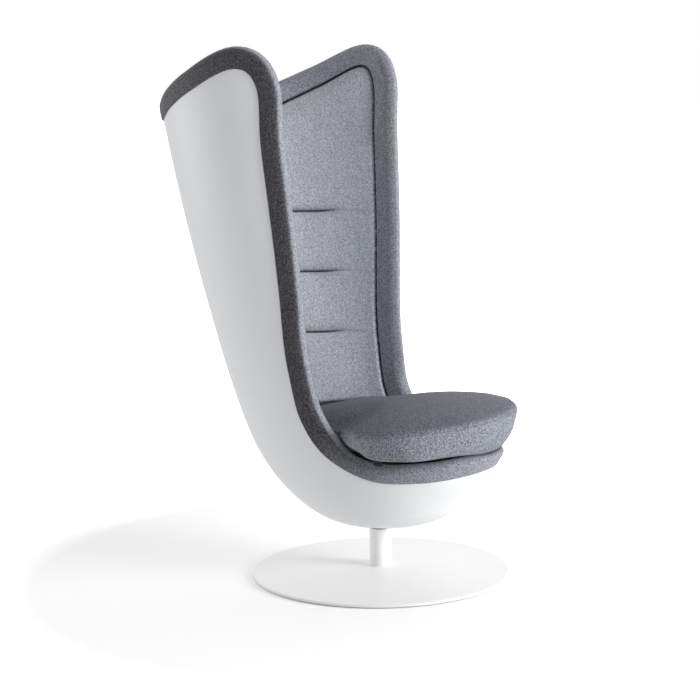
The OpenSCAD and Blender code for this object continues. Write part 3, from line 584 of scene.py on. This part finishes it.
# seat cushion
cushion = {
    "w": 632, "front": 374, "back": 294, "z": 380.3, "thick": 98, "fall": 64, "middle": -60,
    "crown": 38, "crownPower": 2.2, "leanPower": 1.6, "wingRows": 8, "columns": 110,
    "underRings": (0.02, 0.3, 0.55, 0.75, 0.88), "topRings": (0.9, 0.78, 0.64, 0.5, 0.36, 0.22, 0.1, 0.02),
    "footRound": 8, "footInset": 14, "footShare": 0.11, "footRings": 5, "sideShares": (0.16, 0.74), "sideRings": 9,
    "edgeRound": 22, "edgeFrom": 0.78, "edgeRings": 9,
    # cloth simulation
    "voxel": 5.5, "shrink": 1.2, "pressure": 4, "tension": 18, "compression": 12, "bending": 1.5,
    "frames": 20, "cap": 5, "heldBelow": 6, "heldShare": 0.5, "heldFade": 40, "neighbours": 6, "nearness": 0.002,
    # settling against the rim and on the lip
    "lookBack": 14, "lookAside": 55, "rimGap": 4.5, "fillCap": 24, "fillShares": (0.86, 0.56), "clearAside": 1,
    "lookUp": 1, "lookBelow": 30, "lipGap": 2, "sinkCap": 9, "sinkShares": (0.45, 0.05), "clearBelow": 0.3,
    "evenOver": 5,
    # painted shade on the top panel, a darker seam below it, and painted shade where rim and cushion face each other:
    # reach and strength
    "paintedPanelShades": (0, 0.1, 0.25, 0.45, 0.65, 0.82, 0.93), "seamShade": 0.3, "rimShade": (13, 1.6),
    "sideShade": (34, 0.5),
}
cushionPlanShares = np.array([  # foot x and y, top x and y, shares of the height where the side leans out
    [0.000, -0.936, 0.000, -1.000, 0.00, 0.80], [0.310, -0.896, 0.354, -0.968, 0.00, 0.80],
    [0.570, -0.775, 0.665, -0.840, 0.00, 0.80], [0.810, -0.655, 0.888, -0.668, 0.00, 0.80],
    [0.895, -0.500, 0.990, -0.480, 0.00, 0.80], [0.915, -0.390, 0.975, -0.310, 0.00, 0.80],
    [0.838, -0.275, 0.930, -0.215, 0.00, 0.65], [0.665, -0.170, 0.840, -0.147, 0.12, 0.30],
    [0.626, -0.100, 0.770, -0.072, 0.42, 0.52],
    [0.538, 0.017, 0.565, 0.041, 0.75, 0.85], [0.519, 0.306, 0.521, 0.310, 0.40, 0.80],
    [0.454, 0.697, 0.456, 0.700, 0.20, 0.80], [0.283, 0.939, 0.283, 0.942, 0.10, 0.80],
    [0.000, 1.000, 0.000, 1.000, 0.00, 0.80]])
mirrorRow = np.array([-1, 1, -1, 1, 1, 1])


def cushionHeight(y):  # above the underside, and the back pad is shaded by it too
    c = cushion
    return c["thick"] - c["fall"] * (y + c["front"]) / (c["front"] + c["back"])


def cushionOutline(count):  # foot x, y, top x, y, start and end share, all round
    rows = cushionPlanShares.copy()
    wings = (np.arange(len(rows)) <= cushion["wingRows"])[:, None]
    rows[:, (0, 2)] *= np.where(wings, cushion["w"], pod["width"]) / 2
    rows[:, (1, 3)] *= np.where(rows[:, (1, 3)] < 0, cushion["front"], cushion["back"])
    rows = np.vstack([rows[1] * mirrorRow, rows, rows[-2] * mirrorRow, rows[-3] * mirrorRow])
    half = smoothRows(rows, np.linspace(0, len(cushionPlanShares) - 1, count + 1), 1)
    return np.concatenate([half, half[-2:0:-1] * mirrorRow])


def swell(piece, c):  # cloth simulation on a coarse copy, and the piece follows what the copy does
    mesh = piece.data
    start = np.array([v.co for v in mesh.vertices])
    normals = np.array([v.normal for v in mesh.vertices])
    copy = bpy.data.objects.new("cushionCloth", mesh.copy())
    bpy.context.collection.objects.link(copy)
    copy.data.vertices.foreach_set("co", (start - normals * c["shrink"] * mm).reshape(-1))
    remesh = copy.modifiers.new("even", "REMESH")
    remesh.mode = "VOXEL"
    remesh.voxel_size = c["voxel"] * mm
    applyModifiers(copy)
    rest = np.array([v.co for v in copy.data.vertices])
    held = copy.vertex_groups.new(name="held")
    for i, z in enumerate(rest[:, 2]):
        height = z / mm - c["z"]
        share = 1.0 if height < c["heldBelow"] else max(0.0, c["heldShare"] - height / c["heldFade"])
        held.add([i], share, "REPLACE")
    cloth = copy.modifiers.new("cloth", "CLOTH")
    settings = cloth.settings
    settings.vertex_group_mass = "held"
    settings.use_pressure = True
    settings.uniform_pressure_force = c["pressure"]
    settings.effector_weights.gravity = 0
    settings.tension_stiffness = c["tension"]
    settings.compression_stiffness = c["compression"]
    settings.bending_stiffness = c["bending"]
    cloth.point_cache.frame_start = 1
    cloth.point_cache.frame_end = c["frames"]
    scene = bpy.context.scene
    for f in range(1, c["frames"] + 1):
        scene.frame_set(f)
    dg = bpy.context.evaluated_depsgraph_get()
    moved = np.array([v.co for v in copy.evaluated_get(dg).data.vertices]) - rest
    length = np.linalg.norm(moved, axis=1, keepdims=True)
    moved *= np.minimum(1, c["cap"] * mm / np.maximum(length, 1e-9))
    tree = kdtree.KDTree(len(rest))
    for i, p in enumerate(rest):
        tree.insert(p, i)
    tree.balance()
    shift = np.zeros_like(start)
    for i, p in enumerate(start):
        found = tree.find_n(p, c["neighbours"])
        w = np.array([1 / (d + c["nearness"]) for _, _, d in found])
        shift[i] = (moved[[k for _, k, _ in found]] * w[:, None]).sum(0) / w.sum()
    print("cushion swells by", round(float(np.linalg.norm(shift, axis=1).max() / mm), 1), "mm")
    mesh.vertices.foreach_set("co", (start + shift).reshape(-1))
    mesh.update()
    bpy.data.objects.remove(copy)
    scene.frame_set(1)


def solidTree(piece):
    return BVHTree.FromPolygons([v.co for v in piece.data.vertices], [tuple(p.vertices) for p in piece.data.polygons])


def contactShade(piece, tree, reach, strength):  # felt that faces a near neighbour holds shade
    mask = piece.data.attributes["paintedShade"].data
    values = np.empty(len(mask), np.float32)
    mask.foreach_get("value", values)
    for i, v in enumerate(piece.data.vertices):
        distance = tree.find_nearest(v.co, reach * mm)[3]
        if distance is not None:
            values[i] = max(values[i], strength * (1 - distance / mm / reach) ** 2)
    mask.foreach_set("value", values)


def evenOut(values, reach):  # average round each ring, then over the neighbouring rings
    out = sum(np.roll(values, k, axis=1) * (reach + 1 - abs(k)) for k in range(-reach, reach + 1)) / (reach + 1) ** 2
    return (np.vstack([out[:1], out[:-1]]) + 2 * out + np.vstack([out[1:], out[-1:]])) / 4


def roomAlong(trees, start, way, reach):  # millimetres to the nearest neighbour that way, if one is in reach
    found = [tree.ray_cast(start, way, reach * mm)[3] for tree in trees]
    return min((d / mm for d in found if d is not None), default=None)


def settle(piece, c, shares, others):
    # the loose cushion fills out towards the rim beside it, and its foot sinks towards the lip below it
    mesh = piece.data
    points = np.array([v.co for v in mesh.vertices])
    normals = np.array([v.normal for v in mesh.vertices])
    side = unit(normals * [1, 1, 0] + [0, 1e-9, 0])
    fill, sink = between(shares, *c["fillShares"]), between(shares, *c["sinkShares"])
    trees = [solidTree(o) for o in others]
    spread, drop = np.zeros(len(points)), np.zeros(len(points))
    spreadMost, dropMost = np.full(len(points), np.inf), np.full(len(points), np.inf)
    for i in np.nonzero((fill.reshape(-1) > 0) | (sink.reshape(-1) > 0))[0]:
        room = roomAlong(trees, points[i] - side[i] * c["lookBack"] * mm, side[i], c["lookAside"])
        if room is not None:
            room -= c["lookBack"]
            spread[i] = np.clip(room - c["rimGap"], -c["lookBack"], c["fillCap"])
            spreadMost[i] = room - c["clearAside"]
        room = roomAlong(trees, points[i] + [0, 0, c["lookUp"] * mm], (0, 0, -1), c["lookBelow"])
        if room is not None:
            room -= c["lookUp"]
            drop[i] = np.clip(room - c["lipGap"], 0, c["sinkCap"])
            dropMost[i] = max(room - c["clearBelow"], 0)
    spread = evenOut(spread.reshape(shares.shape) * fill, c["evenOver"])
    drop = evenOut(drop.reshape(shares.shape) * sink, c["evenOver"])
    spread = np.minimum(spread, np.where(fill > 0, spreadMost.reshape(shares.shape), np.inf))
    drop = np.minimum(drop, dropMost.reshape(shares.shape))
    print("cushion fills out by", round(float(spread.max()), 1), "and sinks by", round(float(drop.max()), 1), "mm")
    points += (side * spread.reshape(-1, 1) - np.array([0, 0, 1]) * drop.reshape(-1, 1)) * mm
    mesh.vertices.foreach_set("co", points.reshape(-1))
    mesh.update()


offSide = 9  # share that marks the rings of the top and the underside, which neither fill out nor sink


def cushionRings(c):  # rings from the middle of the underside to the middle of the top, and each ring's share
    outline = cushionOutline(c["columns"])
    foot, top, start, end = outline[:, :2], outline[:, 2:4], outline[:, 4:5], outline[:, 5:]
    middle = np.array([0, c["middle"]])
    rings, shares = [], []

    def ring(share, inset=0.0):
        along = 1 - (1 - between(share, start, end)) ** c["leanPower"]
        q = foot + (top - foot) * along
        d = middle - q
        q = q + d * inset / np.linalg.norm(d, axis=-1, keepdims=True)
        rings.append(np.c_[q, c["z"] + share * cushionHeight(q[:, 1])])
        shares.append(share)

    for f in c["underRings"]:
        rings.append(np.c_[middle + (foot - middle) * f, np.full(len(foot), c["z"])])
        shares.append(offSide)
    ring(0, c["footInset"])
    for a in np.radians(np.linspace(0, 90, c["footRings"])):
        ring(c["footShare"] * (1 - math.cos(a)), c["footRound"] * (1 - math.sin(a)))
    for f in np.linspace(*c["sideShares"], c["sideRings"]):
        ring(f)
    for a in np.radians(np.linspace(0, 90, c["edgeRings"])):
        ring(c["edgeFrom"] + (1 - c["edgeFrom"]) * math.sin(a), c["edgeRound"] * (1 - math.cos(a)))
    edge = rings[-1][:, :2]
    for f in c["topRings"]:
        q = middle + (edge - middle) * f
        rings.append(np.c_[q, c["z"] + cushionHeight(q[:, 1]) + c["crown"] * (1 - f ** c["crownPower"])])
        shares.append(offSide)
    return np.array(rings), np.array(shares)


def makeCushion(rim, pad):
    c = cushion
    rings, shares = cushionRings(c)
    n, m = rings.shape[:2]
    faces = ringFaces(n, m, closed=False) + [tuple(range(m))[::-1], tuple(range((n - 1) * m, n * m))]
    piece = newObject("cushionFelt", rings.reshape(-1, 3), faces)
    panel, seam = np.zeros((n, m)), np.zeros((n, m))
    first = n - len(c["topRings"]) - c["edgeRings"]
    for k, value in enumerate(c["paintedPanelShades"]):
        panel[first + k] = value
    panel[first + len(c["paintedPanelShades"]):] = 1
    seam[first + 1] = c["seamShade"]
    addMask(piece, "paintedShadePanel", panel)
    addMask(piece, "paintedShade", seam)
    swell(piece, c)
    settle(piece, c, shares[:, None] * np.ones(m), (rim, pad, nodes["deck_felt"], nodes["seat_deck"]))
    contactShade(rim, solidTree(piece), *c["rimShade"])
    contactShade(piece, solidTree(rim), *c["sideShade"])
    dress(piece, "cushion", "cushionFelt", "grey_felt", "seat_cushion")


# back pad
backPad = {
    "thick": 31, "gap": 2, "inset": 8, "lowRib": 4.25, "topGap": 0.06, "topShare": 0.5,
    "edgeRadius": 9, "edgeShare": 0.55, "lowEdge": 4, "puff": 2.0, "puffSize": 95, "puffFrom": (60, 30),
    "rows": 300, "strips": 104, "rowSamples": 4000, "crowding": 5, "crowdingHalf": 9, "borderSamples": 600,
    "tuckZ": 785, "tuckPitch": 171, "tuckDepth": 13, "tuckHalf": 34, "tuckEnd": 0.82, "tuckTaper": 0.2,
    "tuckRise": 5, "creaseDepth": 8, "creaseHalf": 4, "seamDepth": 1.2, "seamHalf": 3, "seamFade": 20,
    # shade in creases, seams and folds, at the edge, under the top rim, in the middle and above the cushion
    "creaseGain": 1.6, "seamShade": 0.16, "foldShade": 0.42, "foldReach": 20, "edgeShade": (3, 1),
    "topShade": 0.4, "topReach": 70, "topFrom": (1120, 1180), "middleShade": 0.3, "middleSpan": (0.9, 0.45),
    "seatShade": (10, -2), "seatSetback": 30,
}


def tuckDistance(z):  # height above the nearest tuck
    p = backPad
    d = np.array([z - p["tuckZ"] - i * p["tuckPitch"] for i in (-1, 0, 1)])
    return np.take_along_axis(d, np.abs(d).argmin(0)[None], 0)[0]


def backPadCover(z, distance, u):  # thickness of the pad at each point, and its painted shade in folds, seams, at the edge, under the top rim and in the middle
    p = backPad
    across = np.abs(u)
    edge = between(distance, 0, p["edgeRadius"])
    cover = p["thick"] * (p["edgeShare"] + (1 - p["edgeShare"]) * np.sqrt(1 - (1 - edge) ** 2))
    fade = smoothStep(across, p["tuckEnd"], p["tuckEnd"] - p["tuckTaper"])
    above = tuckDistance(z) - p["tuckRise"] * (1 - fade)
    d = np.abs(above)
    cover -= p["tuckDepth"] * fade * between(d, p["tuckHalf"], 0) ** 2
    cover -= p["creaseDepth"] * fade * between(d, p["creaseHalf"], 0)
    cover -= p["seamDepth"] * between(d, p["seamHalf"], 0) * between(distance, 0, p["seamFade"])
    paintedShade = np.clip(p["creaseGain"] * (1 - d / p["creaseHalf"]), 0, 1)
    shade = np.maximum(np.maximum(fade, p["seamShade"]) * paintedShade, between(distance, *p["edgeShade"]))
    fold = np.where(above > 0, between(above, p["foldReach"], 0) ** 2, 0)
    shade = np.maximum(shade, p["foldShade"] * fade * fold)
    under = between(distance, p["topReach"], 0) ** 2 * smoothStep(z, *p["topFrom"])
    shade = np.maximum(shade, p["topShade"] * under)
    middle = p["middleShade"] * smoothStep(across, *p["middleSpan"])  # painted shade, darker in the middle
    return cover, 1 - (1 - shade) * (1 - middle)


def backPadRows():  # places along the rim's table, set closer round the tucks
    p = backPad
    t = np.linspace(p["lowRib"], rimLast - p["topGap"], p["rowSamples"])
    z = podPoint(*ribPlace(t, np.full_like(t, 0.5), p["inset"]))[..., 2]
    weight = 1 + p["crowding"] * np.exp(-(tuckDistance(z) / p["crowdingHalf"]) ** 2)
    total = np.concatenate([[0], np.cumsum((weight[1:] + weight[:-1]) / 2)])
    return np.interp(np.linspace(0, total[-1], p["rows"]), total, t)


def edgeDistance(face):  # from each point of the pad to its border
    p = backPad
    border = podPoint(*ribPlace(np.linspace(p["lowRib"], rimLast, p["borderSamples"]), np.array(1.0), p["inset"]))
    border = np.concatenate([border, border * [-1, 1, 1]])
    near = np.array([np.linalg.norm(row[:, None] - border[None], axis=-1).min(1) for row in face])
    return np.minimum(near, np.linalg.norm(face - face[:1], axis=-1) + p["lowEdge"])


def makeBackPad():
    p = backPad
    tt, uu = np.meshgrid(backPadRows(), columnsAcross(p["strips"]), indexing="ij")
    x, y = ribPlace(tt, uu, p["inset"])
    face = podPoint(x, y)
    z = face[..., 2]
    near = edgeDistance(face)
    cover, paintedShade = backPadCover(z, near, uu)
    aboveSeat = z - cushion["z"] - cushionHeight(face[..., 1] - p["seatSetback"])
    paintedShade = np.maximum(paintedShade, between(aboveSeat, *p["seatShade"]) ** 2)
    calm = between(near, 0, p["puffFrom"][0]) * between(np.abs(tuckDistance(z)), 0, p["puffFrom"][1])
    cover += p["puff"] * calm * softNoise(face.reshape(-1, 3), p["puffSize"], 3).reshape(cover.shape)
    depth = pod["shellT"] + pod["linerGap"] + pod["linerT"] + p["gap"]
    end = np.array([0.0]), np.array([rimShares[-1][2] * (1 - pod["keelInset"] * p["inset"] / pod["height"])])
    ends = [inside(*end, [depth + share * p["thick"]])[0] for share in (0, p["topShare"])]
    points, faces = wallNet(inside(x, y, np.full_like(x, depth)), inside(x, y, depth + cover), *ends)
    pad = newObject("backPadFelt", points, faces)
    addMask(pad, "paintedShade", np.concatenate([np.zeros(paintedShade.size), paintedShade.reshape(-1)]))
    dress(pad, "pod", "padFelt", "grey_felt", "back_pad")
    return pad


padFelt = makeBackPad()
print("back pad made")

# cushion on the deck, against the rim and the back pad
makeCushion(rimFelt, padFelt)
print("cushion made")

# floor, light and camera
light = {
    "world": 0.69, "worldSlope": 0.53, "worldAxis": (0.80, 0.60, 0.0),
    "key": 235, "keyPlace": (0.2, -4.9, 1.6), "keySize": 1.9, "keyTarget": (0, 0, 0.7),
    "back": 42, "backPlace": (-1.4, 4.6, 0.8), "backSize": 3.0, "backTarget": (-0.3, 0.4, 0.8),
    "floorHalf": 40, "floorTone": 0.88, "floorRough": 0.9, "floorGlow": 0.18, "floorFade": (0.95, 1.5),
}


def makeStage():
    mesh = bpy.data.meshes.new("floor")
    h = light["floorHalf"]
    mesh.from_pydata([(-h, -h, 0), (h, -h, 0), (h, h, 0), (-h, h, 0)], [], [(0, 1, 2, 3)])
    floor = bpy.data.objects.new("floor", mesh)
    bpy.context.collection.objects.link(floor)
    m, t, s = startMaterial("floorWhite")
    s.inputs["Base Color"].default_value = [light["floorTone"]] * 3 + [1]
    s.inputs["Roughness"].default_value = light["floorRough"]
    s.inputs["Specular IOR Level"].default_value = 0.0
    path = addNode(t, "ShaderNodeLightPath")
    glow = addNode(t, "ShaderNodeEmission", {"Color": (1, 1, 1, 1), "Strength": 1.0})
    coords = addNode(t, "ShaderNodeTexCoord").outputs["Object"]
    away = addNode(t, "ShaderNodeVectorMath", {0: coords}, operation="LENGTH").outputs["Value"]
    glowing = math2(t, "ADD", ramp(t, away, *light["floorFade"]), light["floorGlow"])
    scaled = math2(t, "MULTIPLY", path.outputs["Is Camera Ray"], glowing)
    t.links.new(scaled, glow.inputs["Strength"])
    both = addNode(t, "ShaderNodeAddShader")
    t.links.new(s.outputs[0], both.inputs[0])
    t.links.new(glow.outputs[0], both.inputs[1])
    t.links.new(both.outputs[0], t.nodes["Material Output"].inputs["Surface"])
    mesh.materials.append(m)


def makeWorld():
    w = bpy.data.worlds.new("studio")
    bpy.context.scene.world = w
    w.use_nodes = True
    t = w.node_tree
    back = t.nodes["Background"]
    path = addNode(t, "ShaderNodeLightPath")
    seen = math2(t, "MAXIMUM", path.outputs["Is Camera Ray"],
                 math2(t, "MAXIMUM", path.outputs["Is Glossy Ray"], path.outputs["Is Transmission Ray"]))
    towards = addNode(t, "ShaderNodeTexCoord").outputs["Generated"]
    along = addNode(t, "ShaderNodeVectorMath", {0: towards, 1: light["worldAxis"]}, operation="DOT_PRODUCT")
    level = math2(t, "ADD", math2(t, "MULTIPLY", along.outputs["Value"], light["worldSlope"]), light["world"])
    strength = math2(t, "ADD", math2(t, "MULTIPLY", level, math2(t, "SUBTRACT", 1.0, seen)), seen)
    back.inputs["Color"].default_value = (1, 1, 1, 1)
    t.links.new(strength, back.inputs["Strength"])


def addLamp(name, place, target, size, power):
    lamp = bpy.data.lights.new(name, "AREA")
    lamp.size = size
    lamp.energy = power
    o = bpy.data.objects.new(name, lamp)
    o.location = place
    o.rotation_euler = (Vector(target) - Vector(place)).to_track_quat("-Z", "Y").to_euler()
    bpy.context.collection.objects.link(o)


camera = {  # degrees and metres, but focal length and frame in pixels and the sensor in millimetres
    "turn": -62.0, "distance": 5.2, "height": 1.43, "yaw": -0.83, "pitch": 8.87, "roll": -0.9,
    "focal": 1955.0, "frame": 700, "sensor": 36,
}


def makeCamera():
    a, y, p, r = (math.radians(camera[k]) for k in ("turn", "yaw", "pitch", "roll"))
    eye = Vector((camera["distance"] * math.sin(a), -camera["distance"] * math.cos(a), camera["height"]))
    ahead = Vector((-math.sin(a), math.cos(a), 0)) * math.cos(y) + Vector((math.cos(a), math.sin(a), 0)) * math.sin(y)
    right = Vector((ahead.y, -ahead.x, 0))
    view = ahead * math.cos(p) - Vector((0, 0, 1)) * math.sin(p)
    up = right.cross(view)
    right, up = right * math.cos(r) + up * math.sin(r), up * math.cos(r) - right * math.sin(r)
    cam = bpy.data.cameras.new("view")
    cam.lens = camera["focal"] / camera["frame"] * camera["sensor"]
    cam.sensor_width = camera["sensor"]
    o = bpy.data.objects.new("view", cam)
    o.matrix_world = Matrix.Translation(eye) @ Matrix((right, up, -view)).transposed().to_4x4()
    bpy.context.collection.objects.link(o)
    bpy.context.scene.camera = o


makeStage()
makeWorld()
for name in ("key", "back"):
    addLamp(name, light[name + "Place"], light[name + "Target"], light[name + "Size"], light[name])
makeCamera()
bpy.context.scene.view_settings.view_transform = "Standard"
print("stage, light and camera made")
